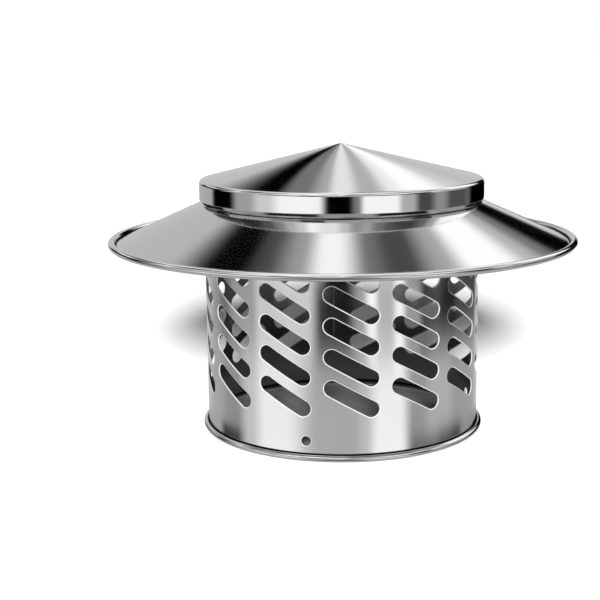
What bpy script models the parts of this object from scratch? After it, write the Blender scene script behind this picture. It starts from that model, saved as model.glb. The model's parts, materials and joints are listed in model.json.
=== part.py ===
"""Rain cap for a round flue, in polished stainless sheet.

A slotted pipe stands on its rolled bottom bead, a sloping skirt hangs from its top by a
collar, and a coned lid is pressed down over the collar. All sizes are in metres, +Z is up,
and the origin is on the axis at the face that the bottom bead stands on. The front is -Y.
"""

import math

import bmesh
import bpy
from mathutils import Matrix

# Sheet and fits
SHEET = 0.0006
SEAT_GAP = 0.0003
CURL_GAP = 0.0003

# Slotted pipe
PIPE_RADIUS = 0.075
PIPE_HEIGHT = 0.1363
BEAD_DIAMETER = 0.0034
FOOT_HALF_ANGLE = math.radians(15)

# Slots, punched in columns round the pipe and in rows up it, sloping down to the right
SLOT_LENGTH = 0.0313
SLOT_WIDTH = 0.0087
SLOT_SLOPE = math.radians(28.8)
COLUMN_PITCH = 0.0352
ROW_PITCH = 0.016
FIRST_ROW_HEIGHT = 0.0326
PLAIN_TOP = 0.020
PUNCH_STROKE = 0.012

# Holes for the screws that hold the cap to the flue
SCREW_HOLES = 3
SCREW_HOLE_DIAMETER = 0.005
SCREW_HOLE_HEIGHT = 0.0101
SCREW_HOLE_ANGLE = math.radians(-18)

# Lid
LID_WALL_HEIGHT = 0.0113
LID_SLOPE = math.radians(13.8)
LID_TIP_RADIUS = 0.007
LID_SHOULDER_RADIUS = 0.002
TUCK_DEPTH = 0.00055
TUCK_ANGLE = math.radians(30)

# Skirt
SKIRT_OVERHANG = 0.0521
SKIRT_SLOPE = math.radians(24)
SKIRT_BEND_RADIUS = 0.0012
COLLAR_HEADROOM = 0.003
RIM_DIAMETER = 0.0038

# Fineness of the facets: round each turned piece, along its bends and along its rolled edges
TURN_STEPS = 64
BEND_STEP = math.radians(24)
CURL_STEP = math.radians(37)
SLOT_SIDES = 14
HOLE_SIDES = 16
SHARP_ANGLE = math.radians(35)
MERGE_DISTANCE = 0.00001

# Sizes that follow from the ones above
HALF_SHEET = SHEET / 2
COLLAR_RADIUS = PIPE_RADIUS + SEAT_GAP + SHEET
LID_RADIUS = COLLAR_RADIUS + SEAT_GAP + TUCK_DEPTH + SHEET
SKIRT_RADIUS = PIPE_RADIUS + SKIRT_OVERHANG
LID_SHOULDER_HEIGHT = (
    PIPE_HEIGHT + SEAT_GAP + SHEET / math.cos(LID_SLOPE)
    - (LID_RADIUS - PIPE_RADIUS) * math.tan(LID_SLOPE)
)
LID_EDGE_HEIGHT = LID_SHOULDER_HEIGHT - LID_WALL_HEIGHT


def clear_scene():
    for old in list(bpy.data.objects):
        bpy.data.objects.remove(old, do_unlink=True)


def new_collection(name):
    collection = bpy.data.collections.new(name)
    bpy.context.scene.collection.children.link(collection)
    return collection


def stainless(name, roughness):
    """Polished stainless steel, a neutral grey metal."""
    material = bpy.data.materials.new(name)
    material.use_nodes = True
    shader = material.node_tree.nodes["Principled BSDF"]
    shader.inputs["Base Color"].default_value = (0.62, 0.62, 0.61, 1.0)
    shader.inputs["Metallic"].default_value = 1.0
    shader.inputs["Roughness"].default_value = roughness
    return material


def arc(centre, radius, first, last, facet):
    """Points on an arc of a profile, as (distance from the axis, height), one facet turn apart."""
    steps = max(2, math.ceil(abs(last - first) / facet))
    points = []
    for step in range(steps + 1):
        angle = first + (last - first) * step / steps
        points.append((centre[0] + radius * math.cos(angle), centre[1] + radius * math.sin(angle)))
    return points


def curl_sweep(radius):
    """How far a rolled edge turns before it meets the sheet that it starts from."""
    return 2 * math.pi - math.acos(1 - (SHEET + CURL_GAP) / radius)


def turned_sheet(name, profile, collection, material):
    """A sheet pressing: the middle line of its section, turned round the axis and thickened."""
    mesh = bpy.data.meshes.new(name)
    corners = [(radius, 0.0, height) for radius, height in profile]
    mesh.from_pydata(corners, [(i, i + 1) for i in range(len(corners) - 1)], [])
    sheet = bpy.data.objects.new(name, mesh)
    collection.objects.link(sheet)
    mesh.materials.append(material)

    turn = sheet.modifiers.new("turn", "SCREW")
    turn.axis = "Z"
    turn.angle = 2 * math.pi
    turn.steps = TURN_STEPS
    turn.render_steps = TURN_STEPS
    turn.use_merge_vertices = True
    turn.merge_threshold = MERGE_DISTANCE
    turn.use_smooth_shade = True

    thicken = sheet.modifiers.new("thicken", "SOLIDIFY")
    thicken.thickness = SHEET
    thicken.offset = 0.0
    thicken.use_even_offset = True
    thicken.use_quality_normals = True
    return sheet


def punch(sheet, cutter):
    """Cut all of a cutter's holes through a sheet."""
    cut = sheet.modifiers.new("punch_" + cutter.name, "BOOLEAN")
    cut.operation = "DIFFERENCE"
    cut.solver = "EXACT"
    cut.object = cutter


def shade_round(sheet):
    """Make the finished mesh the object's own, smooth apart from its real edges."""
    depsgraph = bpy.context.evaluated_depsgraph_get()
    finished = bpy.data.meshes.new_from_object(sheet.evaluated_get(depsgraph))
    finished.name = sheet.name
    sheet.modifiers.clear()
    sheet.data = finished
    finished.shade_smooth()
    finished.set_sharp_from_angle(angle=SHARP_ANGLE)


def cutter_object(name, bm, collection):
    mesh = bpy.data.meshes.new(name)
    bm.to_mesh(mesh)
    bm.free()
    cutter = bpy.data.objects.new(name, mesh)
    collection.objects.link(cutter)
    cutter.hide_render = True
    cutter.display_type = "WIRE"
    return cutter


def add_punch(bm, width, straight, sides, place):
    """One punch with round ends a straight run apart along X, driven along Y, at its place."""
    half_facet = math.pi / sides
    radius = width / 2 / math.cos(half_facet)
    made = bmesh.ops.create_cone(
        bm, cap_ends=True, segments=sides, radius1=radius, radius2=radius, depth=PUNCH_STROKE,
        matrix=Matrix.Rotation(half_facet, 4, "Z"),
    )
    for vert in made["verts"]:
        vert.co.x += math.copysign(straight / 2, vert.co.x)
    stand = Matrix.Rotation(math.radians(90), 4, "X")
    bmesh.ops.transform(bm, matrix=place @ stand, verts=made["verts"])


def at_pipe(angle, height, slope=0.0):
    """Place on the pipe's wall, the angle counted from the front towards +X."""
    out = Matrix.Translation((0.0, -PIPE_RADIUS, height))
    return Matrix.Rotation(angle, 4, "Z") @ out @ Matrix.Rotation(slope, 4, "Y")


def slot_cutter(collection):
    """Columns of slots from the front round both sides; what is left over is the seam's land."""
    columns = int(2 * math.pi * PIPE_RADIUS / COLUMN_PITCH)
    straight = SLOT_LENGTH - SLOT_WIDTH
    half_rise = (straight * math.sin(SLOT_SLOPE) + SLOT_WIDTH) / 2
    room = PIPE_HEIGHT - PLAIN_TOP - half_rise - FIRST_ROW_HEIGHT
    rows = int(room / ROW_PITCH) + 1
    bm = bmesh.new()
    for column in range(columns):
        angle = (column - (columns - 1) / 2) * COLUMN_PITCH / PIPE_RADIUS
        for row in range(rows):
            place = at_pipe(angle, FIRST_ROW_HEIGHT + row * ROW_PITCH, SLOT_SLOPE)
            add_punch(bm, SLOT_WIDTH, straight, SLOT_SIDES, place)
    return cutter_object("slots", bm, collection)


def screw_hole_cutter(collection):
    bm = bmesh.new()
    for hole in range(SCREW_HOLES):
        angle = SCREW_HOLE_ANGLE + hole * 2 * math.pi / SCREW_HOLES
        place = at_pipe(angle, SCREW_HOLE_HEIGHT)
        add_punch(bm, SCREW_HOLE_DIAMETER, 0.0, HOLE_SIDES, place)
    return cutter_object("screw_holes", bm, collection)


def slotted_pipe(collection, cutters):
    """Rolled pipe: plain top end, slotted wall, and a bead rolled outwards to stand on."""
    wall = PIPE_RADIUS - HALF_SHEET
    bead = BEAD_DIAMETER / 2 - HALF_SHEET
    centre = (wall + bead, bead * math.cos(FOOT_HALF_ANGLE) + HALF_SHEET)
    bottom = math.radians(270)
    profile = [(wall, PIPE_HEIGHT)]
    profile += arc(centre, bead, math.pi, bottom - FOOT_HALF_ANGLE, CURL_STEP)
    curl_end = math.pi + curl_sweep(bead)
    profile += arc(centre, bead, bottom + FOOT_HALF_ANGLE, curl_end, CURL_STEP)
    pipe = turned_sheet("slotted_pipe", profile, collection, stainless("pipe_steel", 0.16))
    punch(pipe, slot_cutter(cutters))
    punch(pipe, screw_hole_cutter(cutters))
    shade_round(pipe)


def skirt(collection):
    """Spun skirt: upright collar, bend, cone, and a rim rolled up and over."""
    collar = COLLAR_RADIUS - HALF_SHEET
    bend = SKIRT_BEND_RADIUS + HALF_SHEET
    rim = RIM_DIAMETER / 2 - HALF_SHEET
    root_centre = (collar + bend, LID_EDGE_HEIGHT)
    leave = math.radians(270) - SKIRT_SLOPE
    root = arc(root_centre, bend, math.pi, leave, BEND_STEP)

    rim_x = SKIRT_RADIUS - HALF_SHEET - rim
    cone_end = rim_x + rim * math.cos(leave)
    cone_end_height = root[-1][1] - (cone_end - root[-1][0]) * math.tan(SKIRT_SLOPE)
    rim_centre = (rim_x, cone_end_height - rim * math.sin(leave))

    collar_top = LID_EDGE_HEIGHT + LID_WALL_HEIGHT - COLLAR_HEADROOM
    profile = [(collar, collar_top)] + root
    profile += arc(rim_centre, rim, leave, leave + curl_sweep(rim), CURL_STEP)
    shade_round(turned_sheet("skirt", profile, collection, stainless("skirt_steel", 0.12)))


def lid(collection):
    """Spun lid: shallow cone with a blunt tip, and a short wall tucked in at its lower edge."""
    wall = LID_RADIUS - HALF_SHEET
    tip = LID_TIP_RADIUS - HALF_SHEET
    shoulder = LID_SHOULDER_RADIUS - HALF_SHEET
    cone_normal = math.radians(90) - LID_SLOPE
    corner = LID_SHOULDER_HEIGHT + HALF_SHEET * (math.tan(LID_SLOPE) - 1 / math.cos(LID_SLOPE))
    apex = corner + wall * math.tan(LID_SLOPE)
    tip_centre = (0.0, apex - tip / math.cos(LID_SLOPE))
    shoulder_centre = (wall - shoulder, corner - shoulder * math.tan(cone_normal / 2))
    tuck = TUCK_DEPTH / (1 - math.cos(TUCK_ANGLE))
    tuck_centre = (wall - tuck, LID_EDGE_HEIGHT + tuck * math.sin(TUCK_ANGLE))

    profile = arc(tip_centre, tip, math.radians(90), cone_normal, BEND_STEP)
    profile += arc(shoulder_centre, shoulder, cone_normal, 0.0, BEND_STEP)
    profile += arc(tuck_centre, tuck, 0.0, -TUCK_ANGLE, BEND_STEP)
    shade_round(turned_sheet("lid", profile, collection, stainless("lid_steel", 0.10)))


def main():
    clear_scene()
    parts = new_collection("flue_rain_cap")
    cutters = new_collection("cutters")
    slotted_pipe(parts, cutters)
    skirt(parts)
    lid(parts)


main()
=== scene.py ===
"""Rain cap for a round flue: slotted pipe, skirt and lid, all in polished stainless sheet.

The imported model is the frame. Each piece is shaped again here with a fine surface, from the
same sizes, in metres, with the pipe's axis on Z and the front towards -Y.
"""

import json
import math

import bmesh
import bpy
from mathutils import Matrix, Vector

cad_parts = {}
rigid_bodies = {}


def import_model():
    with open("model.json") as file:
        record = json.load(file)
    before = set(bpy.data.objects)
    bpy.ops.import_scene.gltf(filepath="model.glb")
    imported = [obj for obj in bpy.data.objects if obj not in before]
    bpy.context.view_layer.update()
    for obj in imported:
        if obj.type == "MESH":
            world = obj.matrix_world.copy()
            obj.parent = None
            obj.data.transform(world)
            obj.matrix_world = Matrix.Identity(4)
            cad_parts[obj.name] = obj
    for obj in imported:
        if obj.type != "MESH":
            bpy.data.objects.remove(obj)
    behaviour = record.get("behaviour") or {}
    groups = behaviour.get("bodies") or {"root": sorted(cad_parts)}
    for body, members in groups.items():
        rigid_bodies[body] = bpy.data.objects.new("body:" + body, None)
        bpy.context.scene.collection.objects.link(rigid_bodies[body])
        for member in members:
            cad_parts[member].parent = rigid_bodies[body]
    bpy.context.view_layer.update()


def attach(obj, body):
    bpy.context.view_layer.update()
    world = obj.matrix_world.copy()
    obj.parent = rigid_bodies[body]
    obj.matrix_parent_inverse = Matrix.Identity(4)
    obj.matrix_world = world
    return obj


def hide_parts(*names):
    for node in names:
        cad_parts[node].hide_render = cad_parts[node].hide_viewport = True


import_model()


# Lid: a shallow cone spun from one disc of 0.6 mm stainless sheet, its edge turned down into a
# short wall and tucked in a little at the bottom. It is pressed down over the skirt's collar
# and spot welded from inside.

SHEET = 0.0006
HALF_SHEET = SHEET / 2
SEAT_GAP = 0.0003
PIPE_RADIUS = 0.075
PIPE_HEIGHT = 0.1363
COLLAR_RADIUS = PIPE_RADIUS + SEAT_GAP + SHEET

LID_WALL_HEIGHT = 0.0113
LID_SLOPE = math.radians(13.8)
LID_TIP_RADIUS = 0.007
LID_SHOULDER_RADIUS = 0.002
TUCK_DEPTH = 0.00055
TUCK_ANGLE = math.radians(21.5)
TUCK_BEND_RADIUS = 0.0008
LID_RADIUS = COLLAR_RADIUS + SEAT_GAP + TUCK_DEPTH + SHEET
LID_SHOULDER_HEIGHT = (
    PIPE_HEIGHT + SEAT_GAP + SHEET / math.cos(LID_SLOPE)
    - (LID_RADIUS - PIPE_RADIUS) * math.tan(LID_SLOPE)
)
LID_EDGE_HEIGHT = LID_SHOULDER_HEIGHT - LID_WALL_HEIGHT

TURNS = 288
FACET = math.radians(7)
TIP_FACET = math.radians(3)
SUPPORTS = (0.02, 0.98, 1.0)
TOUCH = 1e-6
CUT_EDGE = 0.00008
CUT_EDGE_STEPS = 2
CUT_EDGE_ANGLE = math.radians(50)
LARGE_FACE_LEAD = 90
STEEL_COLOUR = (0.72, 0.72, 0.715, 1.0)
LID_ROUGHNESS = 0.065
GLOSS_SPREAD = 0.015
GLOSS_PATCHES_PER_METRE = 45
GLOSS_PATCH_DETAIL = 3.0
GLOSS_PATCH_RANGE = (0.3, 0.7)
SHEET_WAVES_PER_METRE = 22
SHEET_WAVE_DEPTH = 0.00002
SPIN_LINES_PER_METRE = 1800
SPIN_ROUGHNESS = 0.05


def deselect_everything():
    if bpy.context.object and bpy.context.object.mode == "EDIT":
        bpy.ops.object.mode_set(mode="OBJECT")
    bpy.ops.object.select_all(action="DESELECT")


def take_up(piece):
    """Make one object the only selected and active one."""
    deselect_everything()
    piece.select_set(True)
    bpy.context.view_layer.objects.active = piece


def start_profile(name, radius, height):
    """A single point on the sheet's middle line, in edit mode, ready to be drawn out."""
    deselect_everything()
    bpy.ops.mesh.primitive_plane_add(size=SHEET, location=(0, 0, 0))
    bpy.context.object.name = name
    bpy.ops.object.mode_set(mode="EDIT")
    bpy.ops.mesh.select_mode(type="VERT")
    bpy.ops.mesh.select_all(action="SELECT")
    bpy.ops.mesh.merge(type="CENTER")
    bpy.ops.transform.translate(value=(radius, 0, height))
    return bpy.context.object


def end_point():
    """Where the profile's free end, the selected point, is."""
    drawn = bmesh.from_edit_mesh(bpy.context.object.data)
    ends = [point.co for point in drawn.verts if point.select]
    return ends[0].x, ends[0].z


def straight_to(radius, height):
    """Draw the sheet straight on, with a support point near each end to hold the flat true."""
    from_radius, from_height = end_point()
    done = 0.0
    for share in SUPPORTS:
        step = ((radius - from_radius) * (share - done), 0, (height - from_height) * (share - done))
        bpy.ops.mesh.extrude_region_move(TRANSFORM_OT_translate={"value": step})
        done = share


def bend_round(radius, height, angle, facet=FACET):
    """Draw the sheet round a bend about a point of the section; a positive angle turns down."""
    steps = max(2, math.ceil(abs(angle) / facet))
    bpy.ops.mesh.spin(steps=steps, angle=-angle, center=(radius, 0, height), axis=(0, 1, 0))


def turn_sheet(piece):
    """Turn the drawn section round the axis and give the sheet its thickness and cut edges."""
    bpy.ops.mesh.select_all(action="SELECT")
    bpy.ops.mesh.spin(steps=TURNS, angle=2 * math.pi, center=(0, 0, 0), axis=(0, 0, 1))
    bpy.ops.mesh.select_all(action="SELECT")
    bpy.ops.mesh.remove_doubles(threshold=TOUCH)
    bpy.ops.mesh.select_all(action="SELECT")
    bpy.ops.mesh.normals_make_consistent(inside=False)
    bpy.ops.object.mode_set(mode="OBJECT")
    thicken(piece)
    ease_edges(piece)


def thicken(piece):
    """Give the sheet's thickness to a surface drawn on its middle."""
    take_up(piece)
    bpy.ops.object.modifier_add(type="SOLIDIFY")
    wall = piece.modifiers[-1]
    wall.thickness = SHEET
    wall.offset = 0.0
    wall.use_even_offset = True
    wall.use_quality_normals = True
    wall.material_offset_rim = -1
    bpy.ops.object.modifier_apply(modifier=wall.name)


def ease_edges(piece):
    """Take the sharpness off the sheet's cut edges."""
    take_up(piece)
    bpy.ops.object.modifier_add(type="BEVEL")
    ease = piece.modifiers[-1]
    ease.width = CUT_EDGE
    ease.segments = CUT_EDGE_STEPS
    ease.limit_method = "ANGLE"
    ease.angle_limit = CUT_EDGE_ANGLE
    bpy.ops.object.modifier_apply(modifier=ease.name)


def shade_by_area(piece):
    """Smooth shading that the large faces lead, so that flats and cones reflect true."""
    take_up(piece)
    bpy.ops.object.shade_smooth()
    bpy.ops.object.modifier_add(type="WEIGHTED_NORMAL")
    lead = piece.modifiers[-1]
    lead.mode = "FACE_AREA"
    lead.weight = LARGE_FACE_LEAD
    bpy.ops.object.modifier_apply(modifier=lead.name)


lid_wall = LID_RADIUS - HALF_SHEET
lid_tip = LID_TIP_RADIUS - HALF_SHEET
lid_shoulder = LID_SHOULDER_RADIUS - HALF_SHEET
lid_corner = LID_SHOULDER_HEIGHT + HALF_SHEET * (math.tan(LID_SLOPE) - 1 / math.cos(LID_SLOPE))
lid_apex = lid_corner + lid_wall * math.tan(LID_SLOPE)
tip_centre = lid_apex - lid_tip / math.cos(LID_SLOPE)
shoulder_radius = lid_wall - lid_shoulder
shoulder_height = lid_corner - lid_shoulder * math.tan((math.radians(90) - LID_SLOPE) / 2)
tuck_bend = TUCK_BEND_RADIUS - HALF_SHEET
tuck_run = (TUCK_DEPTH - tuck_bend * (1 - math.cos(TUCK_ANGLE))) / math.tan(TUCK_ANGLE)
tuck_start = LID_EDGE_HEIGHT + tuck_run + tuck_bend * math.sin(TUCK_ANGLE)

lid = start_profile("spun_lid", 0.0, tip_centre + lid_tip)
bend_round(0.0, tip_centre, LID_SLOPE, TIP_FACET)
straight_to(
    shoulder_radius + lid_shoulder * math.sin(LID_SLOPE),
    shoulder_height + lid_shoulder * math.cos(LID_SLOPE),
)
bend_round(shoulder_radius, shoulder_height, math.radians(90) - LID_SLOPE)
straight_to(lid_wall, tuck_start)
bend_round(lid_wall - tuck_bend, tuck_start, TUCK_ANGLE)
straight_to(lid_wall - TUCK_DEPTH, LID_EDGE_HEIGHT)
turn_sheet(lid)
shade_by_area(lid)


def feed(tree, socket, value):
    """Give a socket a number or another node's value."""
    if isinstance(value, (int, float)):
        socket.default_value = value
    else:
        tree.links.new(value, socket)


def math_node(tree, operation, *values):
    """A sum of numbers or of other nodes' values, as a node."""
    made = tree.nodes.new("ShaderNodeMath")
    made.operation = operation
    for socket, value in zip(made.inputs, values):
        feed(tree, socket, value)
    return made.outputs[0]


def length_node(tree, across, up):
    """The length that two sides at right angles make, as a node."""
    squares = [math_node(tree, "POWER", side, 2.0) for side in (across, up)]
    return math_node(tree, "SQRT", math_node(tree, "ADD", *squares))


def noise_node(tree, scale, detail=2.0):
    """A soft noise that keeps to the piece."""
    place = tree.nodes.new("ShaderNodeTexCoord")
    noise = tree.nodes.new("ShaderNodeTexNoise")
    noise.inputs["Scale"].default_value = scale
    noise.inputs["Detail"].default_value = detail
    tree.links.new(place.outputs["Object"], noise.inputs["Vector"])
    return noise.outputs["Fac"]


def uneven_gloss(tree, patches, patch_range, roughness_range):
    """Roughness that goes over its range as the patches' noise goes over theirs."""
    gloss = tree.nodes.new("ShaderNodeMapRange")
    gloss.inputs["From Min"].default_value, gloss.inputs["From Max"].default_value = patch_range
    gloss.inputs["To Min"].default_value, gloss.inputs["To Max"].default_value = roughness_range
    tree.links.new(patches, gloss.inputs["Value"])
    tree.links.new(gloss.outputs["Result"], tree.nodes["Principled BSDF"].inputs["Roughness"])


def polished_stainless(name, roughness):
    """Polished stainless: neutral metal, a little uneven in gloss, with faint waves in the sheet."""
    steel = bpy.data.materials.new(name)
    steel.use_nodes = True
    tree = steel.node_tree
    shader = tree.nodes["Principled BSDF"]
    shader.inputs["Base Color"].default_value = STEEL_COLOUR
    shader.inputs["Metallic"].default_value = 1.0
    patches = noise_node(tree, GLOSS_PATCHES_PER_METRE, GLOSS_PATCH_DETAIL)
    roughness_range = (roughness - GLOSS_SPREAD, roughness + GLOSS_SPREAD)
    uneven_gloss(tree, patches, GLOSS_PATCH_RANGE, roughness_range)
    bump = tree.nodes.new("ShaderNodeBump")
    bump.inputs["Strength"].default_value = 1.0
    bump.inputs["Distance"].default_value = SHEET_WAVE_DEPTH
    tree.links.new(noise_node(tree, SHEET_WAVES_PER_METRE, 0.0), bump.inputs["Height"])
    tree.links.new(bump.outputs["Normal"], shader.inputs["Normal"])
    return steel


def place_on(steel):
    """Where a point of the piece is, as the outputs x, y and z of a node."""
    tree = steel.node_tree
    place = tree.nodes.new("ShaderNodeTexCoord")
    spot = tree.nodes.new("ShaderNodeSeparateXYZ")
    tree.links.new(place.outputs["Object"], spot.inputs[0])
    return spot.outputs


def roughen(steel, extra):
    """Add to the steel's roughness."""
    tree = steel.node_tree
    socket = tree.nodes["Principled BSDF"].inputs["Roughness"]
    tree.links.new(math_node(tree, "ADD", socket.links[0].from_socket, extra), socket)


def spun_stainless(name, roughness):
    """Polished stainless with the fine rings that the lathe leaves on a spun piece."""
    steel = polished_stainless(name, roughness)
    tree = steel.node_tree
    x, y, z = place_on(steel)
    rings = tree.nodes.new("ShaderNodeTexNoise")
    rings.noise_dimensions = "1D"
    rings.inputs["Scale"].default_value = SPIN_LINES_PER_METRE
    tree.links.new(math_node(tree, "ADD", length_node(tree, x, y), z), rings.inputs["W"])
    centred = math_node(tree, "SUBTRACT", rings.outputs["Fac"], 0.5)
    roughen(steel, math_node(tree, "MULTIPLY", centred, SPIN_ROUGHNESS))
    return steel


def dress(piece, steel, node):
    """Give a finished piece its steel, and put it in place of its node."""
    piece.data.materials.clear()
    piece.data.materials.append(steel)
    put_in_place(piece, node)


def put_in_place(piece, node):
    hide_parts(node)
    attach(piece, "root")


dress(lid, spun_stainless("lid_steel_polished", LID_ROUGHNESS), "lid")


# Skirt: spun from one ring of the same sheet. A collar stands up inside the lid, a tight bend
# leads out to the sloping brim, and the brim's rim is rolled up and over into a bead that
# stiffens it.

SKIRT_OVERHANG = 0.0521
SKIRT_SLOPE = math.radians(24)
SKIRT_BEND_RADIUS = 0.0012
COLLAR_HEADROOM = 0.003
RIM_DIAMETER = 0.0038
CURL_GAP = 0.0003
CURL_FACET = math.radians(12)
SKIRT_ROUGHNESS = 0.085
# The colour of the painted shade in the grooves beside the rolled beads.
GROOVE_SHADE_COLOUR = (0.02, 0.02, 0.02, 1.0)
GROOVE_DARK = 0.0008
GROOVE_CLEAR = 0.0013

collar = COLLAR_RADIUS - HALF_SHEET
collar_top = LID_EDGE_HEIGHT + LID_WALL_HEIGHT - COLLAR_HEADROOM
bend = SKIRT_BEND_RADIUS + HALF_SHEET
bend_angle = math.radians(90) - SKIRT_SLOPE
rim = RIM_DIAMETER / 2 - HALF_SHEET
cone_start = collar + bend - bend * math.cos(bend_angle)
cone_start_height = LID_EDGE_HEIGHT - bend * math.sin(bend_angle)
rim_centre = PIPE_RADIUS + SKIRT_OVERHANG - HALF_SHEET - rim
cone_end = rim_centre - rim * math.cos(bend_angle)
cone_end_height = cone_start_height - (cone_end - cone_start) * math.tan(SKIRT_SLOPE)
rim_centre_height = cone_end_height + rim * math.sin(bend_angle)


def curl_sweep(radius):
    """How far a rolled edge turns before it meets the sheet that it starts from."""
    return 2 * math.pi - math.acos(1 - (SHEET + CURL_GAP) / radius)


def curl_reach(radius):
    """How far from a rolled edge's start, along its sheet, the roll comes back to the sheet."""
    return 2 * math.sqrt(radius * HALF_SHEET)


rim_groove = (
    cone_end - curl_reach(rim) * math.cos(SKIRT_SLOPE) + HALF_SHEET * math.sin(SKIRT_SLOPE),
    cone_end_height + curl_reach(rim) * math.sin(SKIRT_SLOPE) + HALF_SHEET * math.cos(SKIRT_SLOPE),
)
skirt = start_profile("spun_skirt", collar, collar_top)
straight_to(collar, LID_EDGE_HEIGHT)
bend_round(collar + bend, LID_EDGE_HEIGHT, -bend_angle)
straight_to(cone_end, cone_end_height)
bend_round(rim_centre, rim_centre_height, -curl_sweep(rim), CURL_FACET)
turn_sheet(skirt)
shade_by_area(skirt)


def steps_between(tree, value, start, end):
    """0 before the start, 1 past the end and a soft step between them, up or down."""
    step = tree.nodes.new("ShaderNodeMapRange")
    step.interpolation_type = "SMOOTHSTEP"
    step.inputs["From Min"].default_value = start
    step.inputs["From Max"].default_value = end
    tree.links.new(value, step.inputs["Value"])
    return step.outputs[0]


def tint(steel, share, colour):
    """Blend a colour over the steel's own, as far as the share goes."""
    tree = steel.node_tree
    socket = tree.nodes["Principled BSDF"].inputs["Base Color"]
    blend = tree.nodes.new("ShaderNodeMix")
    blend.data_type = "RGBA"
    below, over = blend.inputs[6:8]
    tree.links.new(share, blend.inputs[0])
    if socket.is_linked:
        tree.links.new(socket.links[0].from_socket, below)
    else:
        below.default_value = socket.default_value
    over.default_value = colour
    tree.links.new(blend.outputs[2], socket)


def paint_groove_shade(steel, groove):
    """Painted shade: a dark line in the groove beside a rolled bead, given as its radius and height.
    """
    tree = steel.node_tree
    x, y, z = place_on(steel)
    beside = math_node(tree, "SUBTRACT", length_node(tree, x, y), groove[0])
    over = math_node(tree, "SUBTRACT", z, groove[1])
    tint(
        steel,
        steps_between(tree, length_node(tree, beside, over), GROOVE_CLEAR, GROOVE_DARK),
        GROOVE_SHADE_COLOUR,
    )


skirt_steel = spun_stainless("skirt_steel_polished", SKIRT_ROUGHNESS)
# Painted shade: a dark line in the groove over the rim's bead.
paint_groove_shade(skirt_steel, rim_groove)
dress(skirt, skirt_steel, "skirt")


# Slotted pipe: a strip of sheet punched flat with columns of slanted, round-ended slots and
# three screw holes, then rolled up and butt welded at the back. The bottom edge is rolled
# outwards into a bead that the cap stands on.

SLOT_LENGTH = 0.0313
SLOT_WIDTH = 0.0087
SLOT_SLOPE = math.radians(28.8)
COLUMN_PITCH = 0.0352
COLUMNS = 13
ROW_PITCH = 0.016
ROWS = 5
FIRST_ROW_HEIGHT = 0.0326
SCREW_HOLES = 3
SCREW_HOLE_DIAMETER = 0.005
SCREW_HOLE_HEIGHT = 0.0101
SCREW_HOLE_ANGLE = math.radians(-18)
BEAD_DIAMETER = 0.0034
FOOT_HALF_ANGLE = math.radians(15)
COLUMN_STEPS = 18
SEAM_LAND_STEPS = 3
BEAD_STEPS_BEFORE_FOOT = 6
BEAD_STEPS_AFTER_FOOT = 14
SLOT_SIDES = 48
HOLE_SIDES = 32
PUNCH_STROKE = 0.01
SLOTS_ABOVE = 0.01
SLOTS_BELOW = 0.12
HOLES_ABOVE = 0.005
HOLES_BELOW = 0.015
LIP_WIDTH = 0.00036
LIP_FALL = (0.00018, 0.00009, 0.00003)
HOLE_LIP = 0.0003
HOLE_LIP_STEPS = 3
SEAM_TOUCH = 0.00001
ON_WALL = 0.00002
NEAR_WALL = 0.00005
NEAR_BEAD = 0.0001
PIPE_ROUGHNESS = 0.08
LIP_COLOUR = (0.9, 0.9, 0.895, 1.0)
LIP_METALLIC = 0.8
LIP_RUBS_PER_METRE = 900
LIP_ROUGHNESS_RANGE = (0.25, 0.45)
DULL_RADIUS = PIPE_RADIUS - 0.8 * SHEET
# The inside's darker colour is painted shade; its extra roughness is a duller finish.
INSIDE_SHADE_COLOUR = (0.34, 0.34, 0.335, 1.0)
DULL_ROUGHNESS = 0.14
WELD_HALF_WIDTH = 0.0009
WELD_ROUGHNESS = 0.16

pipe_wall = PIPE_RADIUS - HALF_SHEET
bead = BEAD_DIAMETER / 2 - HALF_SHEET
bead_height = bead * math.cos(FOOT_HALF_ANGLE) + HALF_SHEET
flat_pitch = COLUMN_PITCH * pipe_wall / PIPE_RADIUS
flat_length = 2 * math.pi * pipe_wall
seam_land = (flat_length - COLUMNS * flat_pitch) / 2
bead_groove = (PIPE_RADIUS, bead_height + curl_reach(bead))


def flat_strip(name, middle, width, steps):
    """A strip of the flat sheet, facing the front, from the bead's start to the top edge."""
    deselect_everything()
    bpy.ops.mesh.primitive_grid_add(x_subdivisions=steps, y_subdivisions=1, size=1)
    strip = bpy.context.object
    strip.name = name
    bpy.ops.object.mode_set(mode="EDIT")
    bpy.ops.mesh.select_all(action="SELECT")
    height = PIPE_HEIGHT - bead_height
    bpy.ops.transform.resize(value=(width, height, 1))
    bpy.ops.object.mode_set(mode="OBJECT")
    strip.rotation_euler.x = math.radians(90)
    strip.location = (middle, 0, bead_height + height / 2)
    bpy.ops.object.transform_apply(location=True, rotation=True, scale=True)
    return strip


def punch_tool(name, width, straight, sides, slope, x, z):
    """A punch with round ends a straight run apart, standing across the flat sheet."""
    deselect_everything()
    half = math.pi / sides
    bpy.ops.mesh.primitive_cylinder_add(
        vertices=sides, radius=width / 2 / math.cos(half), depth=PUNCH_STROKE, rotation=(0, 0, half)
    )
    tool = bpy.context.object
    tool.name = name
    bpy.ops.object.transform_apply(location=True, rotation=True, scale=True)
    bpy.ops.object.mode_set(mode="EDIT")
    bpy.ops.mesh.select_mode(type="VERT")
    for side in (1, -1):
        bpy.ops.mesh.select_all(action="DESELECT")
        drawn = bmesh.from_edit_mesh(tool.data)
        for point in drawn.verts:
            point.select = point.co.x * side > 0
        drawn.select_flush_mode()
        bmesh.update_edit_mesh(tool.data)
        bpy.ops.transform.translate(value=(side * straight / 2, 0, 0))
    bpy.ops.object.mode_set(mode="OBJECT")
    tool.rotation_euler = (math.radians(90), slope, 0)
    tool.location = (x, 0, z)
    bpy.ops.object.transform_apply(location=True, rotation=True, scale=True)
    return tool


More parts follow.
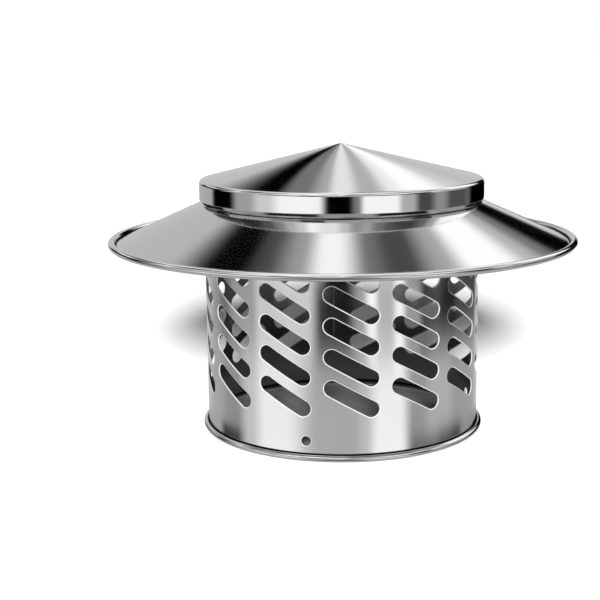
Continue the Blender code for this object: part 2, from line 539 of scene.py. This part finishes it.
def join_pieces(pieces):
    """Join the pieces into the first of them."""
    deselect_everything()
    for piece in pieces:
        piece.select_set(True)
    bpy.context.view_layer.objects.active = pieces[0]
    bpy.ops.object.join()
    return pieces[0]


def punch_out(sheet, tool):
    """Punch the tool's holes in the sheet, and put the tool away."""
    take_up(sheet)
    bpy.ops.object.modifier_add(type="BOOLEAN")
    hole = sheet.modifiers[-1]
    hole.operation = "DIFFERENCE"
    hole.solver = "EXACT"
    hole.object = tool
    bpy.ops.object.modifier_apply(modifier=hole.name)
    bpy.data.objects.remove(tool, do_unlink=True)


def burnished_lip(name):
    """The punched edges, rubbed smooth: a satin metal that catches light from all sides."""
    lip = bpy.data.materials.new(name)
    lip.use_nodes = True
    tree = lip.node_tree
    shader = tree.nodes["Principled BSDF"]
    shader.inputs["Base Color"].default_value = LIP_COLOUR
    shader.inputs["Metallic"].default_value = LIP_METALLIC
    uneven_gloss(tree, noise_node(tree, LIP_RUBS_PER_METRE), (0.0, 1.0), LIP_ROUGHNESS_RANGE)
    return lip


def shade_and_dull_inside(steel):
    """Painted shade inside the pipe: its inner face is coloured darker, and it is duller there as the
    sheet is polished on one side.
    """
    tree = steel.node_tree
    x, y, _ = place_on(steel)
    inside = math_node(tree, "LESS_THAN", length_node(tree, x, y), DULL_RADIUS)
    tint(steel, inside, INSIDE_SHADE_COLOUR)
    roughen(steel, math_node(tree, "MULTIPLY", inside, DULL_ROUGHNESS))


def dress_weld(steel):
    """The weld at the back, dressed flush, keeps a dull line."""
    tree = steel.node_tree
    x, y, _ = place_on(steel)
    beside = math_node(tree, "ABSOLUTE", x)
    line = steps_between(tree, beside, WELD_HALF_WIDTH, WELD_HALF_WIDTH / 3)
    mark = math_node(tree, "MULTIPLY", line, math_node(tree, "GREATER_THAN", y, 0.0))
    roughen(steel, math_node(tree, "MULTIPLY", mark, WELD_ROUGHNESS))


def press_lips(sheet, width):
    """Press the slots' edges inwards, as the punch does, to a rounded lip in the second finish."""
    take_up(sheet)
    bpy.ops.object.mode_set(mode="EDIT")
    bpy.ops.mesh.select_mode(type="FACE")
    bpy.ops.mesh.select_all(action="SELECT")
    for _ in LIP_FALL:
        bpy.ops.mesh.inset(thickness=LIP_WIDTH / len(LIP_FALL), use_boundary=True)
    bpy.ops.mesh.select_all(action="INVERT")
    inner = width / 2 - 2 * LIP_WIDTH

    def at_slot(point):
        return abs(point.x) < inner and SLOTS_ABOVE < point.z < SLOTS_BELOW

    drawn = bmesh.from_edit_mesh(sheet.data)
    for face in drawn.faces:
        if not at_slot(face.calc_center_median()):
            face.select = False
    bmesh.update_edit_mesh(sheet.data)
    sheet.active_material_index = 1
    bpy.ops.object.material_slot_assign()
    bpy.ops.mesh.select_mode(type="VERT")
    bpy.ops.mesh.select_all(action="DESELECT")
    drawn = bmesh.from_edit_mesh(sheet.data)
    for point in drawn.verts:
        point.select = point.is_boundary and at_slot(point.co)
    drawn.select_flush_mode()
    bmesh.update_edit_mesh(sheet.data)
    for fall in LIP_FALL:
        bpy.ops.transform.translate(value=(0, fall, 0))
        bpy.ops.mesh.select_more()
    bpy.ops.object.mode_set(mode="OBJECT")


column = flat_strip("slot_column", 0.0, flat_pitch, COLUMN_STEPS)
straight_run = SLOT_LENGTH - SLOT_WIDTH
tools = [
    punch_tool(
        "slot_punch", SLOT_WIDTH, straight_run, SLOT_SIDES, SLOT_SLOPE, 0.0,
        FIRST_ROW_HEIGHT + row * ROW_PITCH,
    )
    for row in range(ROWS)
]
punch_out(column, join_pieces(tools))
column.data.materials.clear()
pipe_steel = polished_stainless("pipe_steel_polished", PIPE_ROUGHNESS)
# Painted shade: the inside of the pipe is coloured darker, and it is rougher.
shade_and_dull_inside(pipe_steel)
# Painted shade: a dark line in the groove over the pipe's bead.
paint_groove_shade(pipe_steel, bead_groove)
dress_weld(pipe_steel)
column.data.materials.append(pipe_steel)
column.data.materials.append(burnished_lip("slot_lip_burnished"))
press_lips(column, flat_pitch)

strips = [column]
for number in range(COLUMNS):
    shift = (number - (COLUMNS - 1) / 2) * flat_pitch
    if shift == 0:
        continue
    copy = column.copy()
    copy.data = column.data.copy()
    bpy.context.collection.objects.link(copy)
    copy.location.x = shift
    strips.append(copy)
for side in (-1, 1):
    land = flat_strip("seam_land", side * (flat_length - seam_land) / 2, seam_land, SEAM_LAND_STEPS)
    land.data.materials.append(pipe_steel)
    strips.append(land)
pipe = join_pieces(strips)
pipe.name = "rolled_pipe"

holes = []
for number in range(SCREW_HOLES):
    angle = math.remainder(SCREW_HOLE_ANGLE + number * 2 * math.pi / SCREW_HOLES, 2 * math.pi)
    holes.append(punch_tool(
        "hole_punch", SCREW_HOLE_DIAMETER, 0.0, HOLE_SIDES, 0.0, angle * pipe_wall, SCREW_HOLE_HEIGHT
    ))
punch_out(pipe, join_pieces(holes))


def roll_up(sheet):
    """Roll the flat strip into a pipe about Z, its middle to the front, and weld the seam."""
    take_up(sheet)
    bpy.ops.object.modifier_add(type="SIMPLE_DEFORM")
    roll = sheet.modifiers[-1]
    roll.deform_method = "BEND"
    roll.deform_axis = "Z"
    roll.angle = 2 * math.pi
    bpy.ops.object.modifier_apply(modifier=roll.name)
    sheet.location.y = -pipe_wall
    bpy.ops.object.transform_apply(location=True, rotation=False, scale=False)
    bpy.ops.object.mode_set(mode="EDIT")
    bpy.ops.mesh.select_all(action="SELECT")
    bpy.ops.mesh.remove_doubles(threshold=SEAM_TOUCH)
    bpy.ops.object.mode_set(mode="OBJECT")


def roll_bead(sheet, section):
    """Draw the pipe's bottom edge, held in the section's points, round into a bead."""
    take_up(sheet)
    bpy.ops.object.mode_set(mode="EDIT")
    bpy.ops.mesh.select_mode(type="EDGE")
    bpy.ops.mesh.select_all(action="DESELECT")
    drawn = bmesh.from_edit_mesh(sheet.data)
    for edge in drawn.edges:
        level_ends = all(abs(point.co.z - bead_height) < TOUCH for point in edge.verts)
        edge.select = edge.is_boundary and level_ends
    bmesh.update_edit_mesh(sheet.data)
    for (radius, height), (next_radius, next_height) in zip(section, section[1:]):
        bpy.ops.mesh.extrude_region_move()
        grow = next_radius / radius
        bpy.ops.transform.resize(value=(grow, grow, 1), center_override=(0, 0, 0))
        bpy.ops.transform.translate(value=(0, 0, next_height - height))
    bpy.ops.object.mode_set(mode="OBJECT")


def section_arc(first, last, steps):
    """Points of the bead's section, as (radius, height), from one angle to another."""
    angles = [first + (last - first) * step / steps for step in range(steps + 1)]
    return [
        (pipe_wall + bead + bead * math.cos(angle), bead_height + bead * math.sin(angle))
        for angle in angles
    ]


def ease_holes(sheet):
    """Round over the screw holes' edges on the outside of the wall, in the second finish."""
    take_up(sheet)
    bpy.ops.object.mode_set(mode="EDIT")
    bpy.ops.mesh.select_mode(type="EDGE")
    bpy.ops.mesh.select_all(action="DESELECT")
    drawn = bmesh.from_edit_mesh(sheet.data)
    drawn.normal_update()
    for edge in drawn.edges:
        ends = [point.co for point in edge.verts]
        if not all(HOLES_ABOVE < end.z < HOLES_BELOW for end in ends):
            continue
        if any(abs(math.hypot(end.x, end.y) - PIPE_RADIUS) > NEAR_WALL for end in ends):
            continue
        middle = (ends[0] + ends[1]) / 2
        out = Vector((middle.x, middle.y, 0)).normalized()
        facing = sorted(abs(face.normal.dot(out)) for face in edge.link_faces)
        # One face lies across the wall and the other along it.
        edge.select = len(facing) == 2 and facing[0] < 0.5 < facing[1]
    bmesh.update_edit_mesh(sheet.data)
    bpy.ops.mesh.bevel(
        offset=HOLE_LIP, segments=HOLE_LIP_STEPS, affect="EDGES", clamp_overlap=False, material=1
    )
    bpy.ops.object.mode_set(mode="OBJECT")


def shade_rolled(sheet):
    """Smooth shading with the wall's own round, so that the punched sheet reflects as a pipe."""
    take_up(sheet)
    bpy.ops.object.shade_smooth()
    lay = []
    for point in sheet.data.vertices:
        normal = Vector(point.normal)
        radius = math.hypot(point.co.x, point.co.y)
        if point.co.z > bead_height - NEAR_BEAD:
            out = Vector((point.co.x, point.co.y, 0)) / radius
            if abs(radius - PIPE_RADIUS) < ON_WALL:
                normal = out
            elif abs(radius - PIPE_RADIUS + SHEET) < ON_WALL:
                normal = -out
        lay.append(normal)
    sheet.data.normals_split_custom_set_from_vertices(lay)


roll_up(pipe)
down = math.radians(270)
bead_section = section_arc(math.pi, down - FOOT_HALF_ANGLE, BEAD_STEPS_BEFORE_FOOT)
bead_section += section_arc(down + FOOT_HALF_ANGLE, math.pi + curl_sweep(bead), BEAD_STEPS_AFTER_FOOT)
roll_bead(pipe, bead_section)
thicken(pipe)
ease_holes(pipe)
shade_rolled(pipe)
put_in_place(pipe, "slotted_pipe")


# Studio: a wide pale floor, a soft key light from over the camera and a light tent round the
# cap. The tent has bright panels and black flags, because polished steel shows only what stands
# round it. The floor is left out of the steel's reflections, and a dark card lies in the pipe as
# painted shade for the pipe's inside.

CAMERA_TURN = math.radians(-3.79)
CAMERA_DISTANCE = 0.6788
CAMERA_HEIGHT = 0.2048
CAMERA_PITCH = 0.1977
CAMERA_YAW = 0.0341
CAMERA_ROLL = -0.0111
SENSOR_WIDTH = 36.0
FOCAL_PIXELS = 1244.7
PICTURE_PIXELS = 600
CLIP_START = 0.05
CLIP_END = 80.0
FLOOR_SIZE = 60.0
FLOOR_BRIGHTNESS = 0.85
FLOOR_ROUGHNESS = 0.9
CARD_RADIUS = PIPE_RADIUS + 0.0004
CARD_HEIGHT = 0.00005
CARD_SIDES = 96
SHADE_CARD_BRIGHTNESS = 0.15
CARD_ROUGHNESS = 1.0
KEY_STRENGTH = 10.5
KEY_HEIGHT = math.radians(21)
KEY_SPREAD = math.radians(10)
# What matt things get from all round, and what the steel shows from right below it.
SOFT_FILL = 0.11
GROUND_GLOW = 0.5

# Four rows of panels, from the cap's height down to the floor, as (azimuth from, to, brightness):
# degrees from the camera's side towards its right. The lid's wall shows the first row, the top of
# the pipe the second, its middle the third and its foot the last.
LEVEL_PANELS = (
    (-180, -128, 0.5), (-120, -99, 0.0), (-88, -78, 0.45), (-66, -60, 0.8),
    (-46, -18, 1.25), (-10, 6, 0.0), (12, 13, 0.25), (19, 43, 1.25), (50, 57, 0.55),
    (65, 72, 0.08), (83, 86, 0.35), (97, 112, 0.1), (118, 119, 0.15), (126, 180, 0.0),
)
UPPER_WALL_PANELS = (
    (-180, -146, 0.55), (-128, -127, 0.36), (-118, -112, 0.22), (-100, -80, 0.44),
    (-70, -56, 0.78), (-42, -28, 0.8), (-16, 3, 0.01), (15, 16, 0.46), (24, 25, 1.3),
    (32, 40, 0.55), (48, 49, 1.3), (56, 64, 0.42), (72, 84, 0.06), (94, 104, 0.015),
    (112, 144, 0.08), (156, 180, 0.65),
)
LOW_PANELS = (
    (-180, -166, 0.6), (-130, -126, 0.48), (-109, -100, 0.38), (-84, -82, 0.74), (-66, -48, 1.15),
    (-20, 10, 0.55), (18, 19, 0.68), (32, 48, 1.2), (62, 68, 0.42), (82, 96, 0.6),
    (112, 140, 0.45), (166, 180, 0.65),
)
FOOT_PANELS = (
    (-180, -130, 0.45), (-117, -100, 0.02), (-84, -83, 0.7), (-66, -48, 1.2), (-20, 10, 0.55),
    (18, 19, 0.68), (30, 50, 1.25), (62, 84, 0.15), (94, 114, 0.02), (126, 180, 0.35),
)
# The floor in front stays dark, for the dark line along the rims, and is pale at the sides.
GROUND_PANELS = ((-180, -40, 0.5), (-20, 14, 0.03), (34, 180, 0.5))
# Panels high behind the cap, by the angle from the top of the oval ring that the skirt shows and
# of the one that the lid shows. The cap's other sides see the same panels again, a little weaker.
SKIRT_PANELS = (
    (-180, -78, 0.6), (-60, -50, 0.0), (-42, -41, 0.08), (-26, -25, 0.42), (-11, -2, 1.25),
    (18, 19, 0.2), (31, 38, 0.08), (51, 52, 0.5), (61, 72, 1.35), (85, 86, 0.6),
    (97, 98, 0.23), (110, 134, 0.0), (144, 180, 0.68),
)
LID_PANELS = (
    (-180, -88, 0.62), (-50, -41, 0.0), (-32, -24, 0.22), (-12, -11, 0.5), (-3, 4, 1.0),
    (15, 21, 0.56), (34, 35, 1.1), (44, 52, 1.3), (74, 75, 0.75), (92, 180, 0.62),
)
OTHER_SIDES = 0.8
# Everything else, by height above the horizon.
HEIGHT_PANELS = ((-90, -20, 0.5), (-3, 11, 0.01), (15, 90, 1.05))
# The arc of sky over the camera that the skirt shows under the lid's wall, after two bounces.
ARC_PANELS = (
    (-180, -92, 0.03), (-78, -77, 0.13), (-67, -66, 0.37), (-56, -55, 0.75), (-43, -42, 1.1),
    (-33, -31, 1.7), (-19, -8, 1.45), (4, 5, 0.95), (16, 17, 0.5), (28, 29, 0.62), (40, 41, 0.3),
    (53, 54, 0.14), (64, 75, 0.08), (87, 88, 0.2), (97, 98, 0.6), (109, 180, 1.6),
)

# Where each row ends and the next one above it begins, as a soft step between two heights in
# degrees. From straight in front to straight behind, the arc comes down by ARC_DROP and the
# pipe's two lower rows end higher by WALL_RISE, because its sides stand farther from the camera.
LEVEL_EDGE = (-3, -0.5)
UPPER_WALL_EDGE = (-10.4, -9.4)
LOW_EDGE = (-15.5, -12.6)
FOOT_EDGE = (-18.2, -17.8)
GROUND_EDGE = (-26, -20)
GLOW_EDGE = (-54, -38)
ARC_FOOT = (48, 51)
ARC_TOP = (60, 63)
ARC_DROP = math.radians(44)
WALL_RISE = math.radians(2.3)

# Each oval ring's middle height, half width and half height in degrees, and the soft step at its
# outside, in parts of those halves.
SKIRT_RING = (27, 25, 30)
SKIRT_RING_EDGE = (1.25, 1.5)
LID_RING = (16, 10.5, 17)
LID_RING_EDGE = (1.18, 1.28)


class Tent:
    """The world's nodes, with short names for the sums that place each panel."""

    def __init__(self, world):
        world.use_nodes = True
        self.tree = world.node_tree
        self.tree.nodes.clear()

    def node(self, kind, **settings):
        made = self.tree.nodes.new(kind)
        for name, value in settings.items():
            setattr(made, name, value)
        return made

    def sum(self, operation, *values):
        return math_node(self.tree, operation, *values)

    def between(self, value, start, end):
        return steps_between(self.tree, value, start, end)

    def above(self, angle, edge):
        """0 below an edge of two heights in degrees, 1 above it."""
        return self.between(angle, math.radians(edge[0]), math.radians(edge[1]))

    def mix(self, share, low, high):
        made = self.node("ShaderNodeMix", data_type="FLOAT")
        for number, value in ((0, share), (2, low), (3, high)):
            feed(self.tree, made.inputs[number], value)
        return made.outputs[0]

    def panels(self, angle, panels, reach=180):
        """Brightness along a row of panels, as soft steps between their flat middles."""
        share = self.node("ShaderNodeMapRange")
        self.tree.links.new(angle, share.inputs["Value"])
        share.inputs["From Min"].default_value = -math.radians(reach)
        share.inputs["From Max"].default_value = math.radians(reach)
        row = self.node("ShaderNodeValToRGB")
        ramp = row.color_ramp
        ramp.interpolation = "EASE"
        stops = []
        for first, last, brightness in panels:
            stops += [(first, brightness), (last, brightness)]
        for at, _ in stops[1:-1]:
            ramp.elements.new((at + reach) / (2 * reach))
        for stop, (_, brightness) in zip(ramp.elements, stops):
            stop.color = (brightness, brightness, brightness, 1.0)
        self.tree.links.new(share.outputs[0], row.inputs["Fac"])
        return row.outputs["Color"]


tent_world = bpy.data.worlds.new("light_tent")
bpy.context.scene.world = tent_world
tent = Tent(tent_world)

direction = tent.node("ShaderNodeTexCoord").outputs["Generated"]
turn = tent.node("ShaderNodeVectorRotate", rotation_type="Z_AXIS")
tent.tree.links.new(direction, turn.inputs["Vector"])
turn.inputs["Angle"].default_value = -CAMERA_TURN
parts = tent.node("ShaderNodeSeparateXYZ")
tent.tree.links.new(turn.outputs[0], parts.inputs[0])
across, away, upward = parts.outputs
height = tent.sum("ARCSINE", upward)
from_camera = tent.sum("ARCTAN2", across, tent.sum("MULTIPLY", away, -1.0))
from_behind = tent.sum("ARCTAN2", across, away)

# 0 straight in front, about 0.3 at the sides and 1 straight behind.
side_rise = tent.sum("SUBTRACT", 1.0, tent.sum("COSINE", tent.sum("MULTIPLY", from_camera, 0.5)))
arc_height = tent.sum("ADD", height, tent.sum("MULTIPLY", side_rise, ARC_DROP))
on_arc = tent.sum(
    "MULTIPLY",
    tent.above(arc_height, ARC_FOOT),
    tent.sum("SUBTRACT", 1.0, tent.above(arc_height, ARC_TOP)),
)


def place_on_ring(sideways, ring):
    """The angle round an oval ring, and the distance from its middle in parts of its halves."""
    middle, half_width, half_height = map(math.radians, ring)
    beside = tent.sum("DIVIDE", sideways, half_width)
    over = tent.sum("DIVIDE", tent.sum("SUBTRACT", height, middle), half_height)
    return tent.sum("ARCTAN2", beside, over), length_node(tent.tree, beside, over)


def rings_of_panels(sideways, around):
    """The panels that the lid and the skirt show from one side, in front of what is around them."""
    skirt_angle, skirt_size = place_on_ring(sideways, SKIRT_RING)
    lid_angle, lid_size = place_on_ring(sideways, LID_RING)
    skirt_ring = tent.panels(skirt_angle, SKIRT_PANELS)
    lid_ring = tent.panels(lid_angle, LID_PANELS)
    rings = tent.mix(tent.between(lid_size, *LID_RING_EDGE), lid_ring, skirt_ring)
    return tent.mix(tent.between(skirt_size, *SKIRT_RING_EDGE), rings, around)


# The angle from behind, which begins again at each quarter of the way round.
half_quarter = math.radians(45)
from_quarter = tent.sum("WRAP", from_behind, half_quarter, -half_quarter)
sky = tent.panels(height, HEIGHT_PANELS, 90)
sky = tent.mix(OTHER_SIDES, sky, rings_of_panels(from_quarter, sky))
sky = tent.mix(on_arc, sky, tent.panels(from_camera, ARC_PANELS))
light = rings_of_panels(from_behind, sky)
wall_height = tent.sum("SUBTRACT", height, tent.sum("MULTIPLY", side_rise, WALL_RISE))
for panels, row_height, edge in (
    (LEVEL_PANELS, height, LEVEL_EDGE),
    (UPPER_WALL_PANELS, height, UPPER_WALL_EDGE),
    (LOW_PANELS, wall_height, LOW_EDGE),
    (FOOT_PANELS, wall_height, FOOT_EDGE),
    (GROUND_PANELS, height, GROUND_EDGE),
):
    light = tent.mix(tent.above(row_height, edge), tent.panels(from_camera, panels), light)
light = tent.mix(tent.above(height, GLOW_EDGE), GROUND_GLOW, light)

steel_view = tent.node("ShaderNodeBackground")
tent.tree.links.new(light, steel_view.inputs["Color"])
path = tent.node("ShaderNodeLightPath")
seen = steel_view
for ray, brightness in (("Is Diffuse Ray", SOFT_FILL), ("Is Camera Ray", 1.0)):
    plain = tent.node("ShaderNodeBackground")
    plain.inputs["Strength"].default_value = brightness
    plain.inputs["Color"].default_value = (1.0, 1.0, 1.0, 1.0)
    choose = tent.node("ShaderNodeMixShader")
    tent.tree.links.new(path.outputs[ray], choose.inputs[0])
    tent.tree.links.new(seen.outputs[0], choose.inputs[1])
    tent.tree.links.new(plain.outputs[0], choose.inputs[2])
    seen = choose
out = tent.node("ShaderNodeOutputWorld")
tent.tree.links.new(seen.outputs[0], out.inputs["Surface"])

key = bpy.data.lights.new("key_light", "SUN")
key.energy = KEY_STRENGTH
key.angle = KEY_SPREAD
key_lamp = bpy.data.objects.new("key_light", key)
bpy.context.collection.objects.link(key_lamp)
key_lamp.rotation_euler = (math.radians(90) - KEY_HEIGHT, 0, CAMERA_TURN)
key_lamp.visible_glossy = False


def stage(piece, name, material_name, brightness, roughness):
    """Keep a matt piece of the studio in the picture, beside the cap."""
    piece.name = name
    matt = bpy.data.materials.new(material_name)
    matt.use_nodes = True
    shader = matt.node_tree.nodes["Principled BSDF"]
    shader.inputs["Base Color"].default_value = (brightness, brightness, brightness, 1.0)
    shader.inputs["Roughness"].default_value = roughness
    piece.data.materials.append(matt)


deselect_everything()
bpy.ops.mesh.primitive_plane_add(size=FLOOR_SIZE, location=(0, 0, 0))
floor = bpy.context.object
floor.visible_glossy = False
stage(floor, "studio_floor", "pale_floor", FLOOR_BRIGHTNESS, FLOOR_ROUGHNESS)

# A dark card in the pipe: painted shade for the inside of the pipe.
deselect_everything()
bpy.ops.mesh.primitive_circle_add(
    vertices=CARD_SIDES, radius=CARD_RADIUS, fill_type="NGON", location=(0, 0, CARD_HEIGHT)
)
stage(bpy.context.object, "shade_card", "painted_shade_card", SHADE_CARD_BRIGHTNESS, CARD_ROUGHNESS)

lens = bpy.data.cameras.new("camera")
lens.sensor_width = SENSOR_WIDTH
lens.lens = SENSOR_WIDTH * FOCAL_PIXELS / PICTURE_PIXELS
lens.clip_start = CLIP_START
lens.clip_end = CLIP_END
camera = bpy.data.objects.new("camera", lens)
bpy.context.collection.objects.link(camera)
camera.location = (
    CAMERA_DISTANCE * math.sin(CAMERA_TURN), -CAMERA_DISTANCE * math.cos(CAMERA_TURN), CAMERA_HEIGHT
)
aim = (
    Matrix.Rotation(CAMERA_TURN + CAMERA_YAW, 4, "Z")
    @ Matrix.Rotation(math.radians(90) - CAMERA_PITCH, 4, "X")
    @ Matrix.Rotation(CAMERA_ROLL, 4, "Z")
)
camera.rotation_euler = aim.to_euler()
bpy.context.scene.camera = camera
bpy.context.scene.view_settings.view_transform = "Standard"
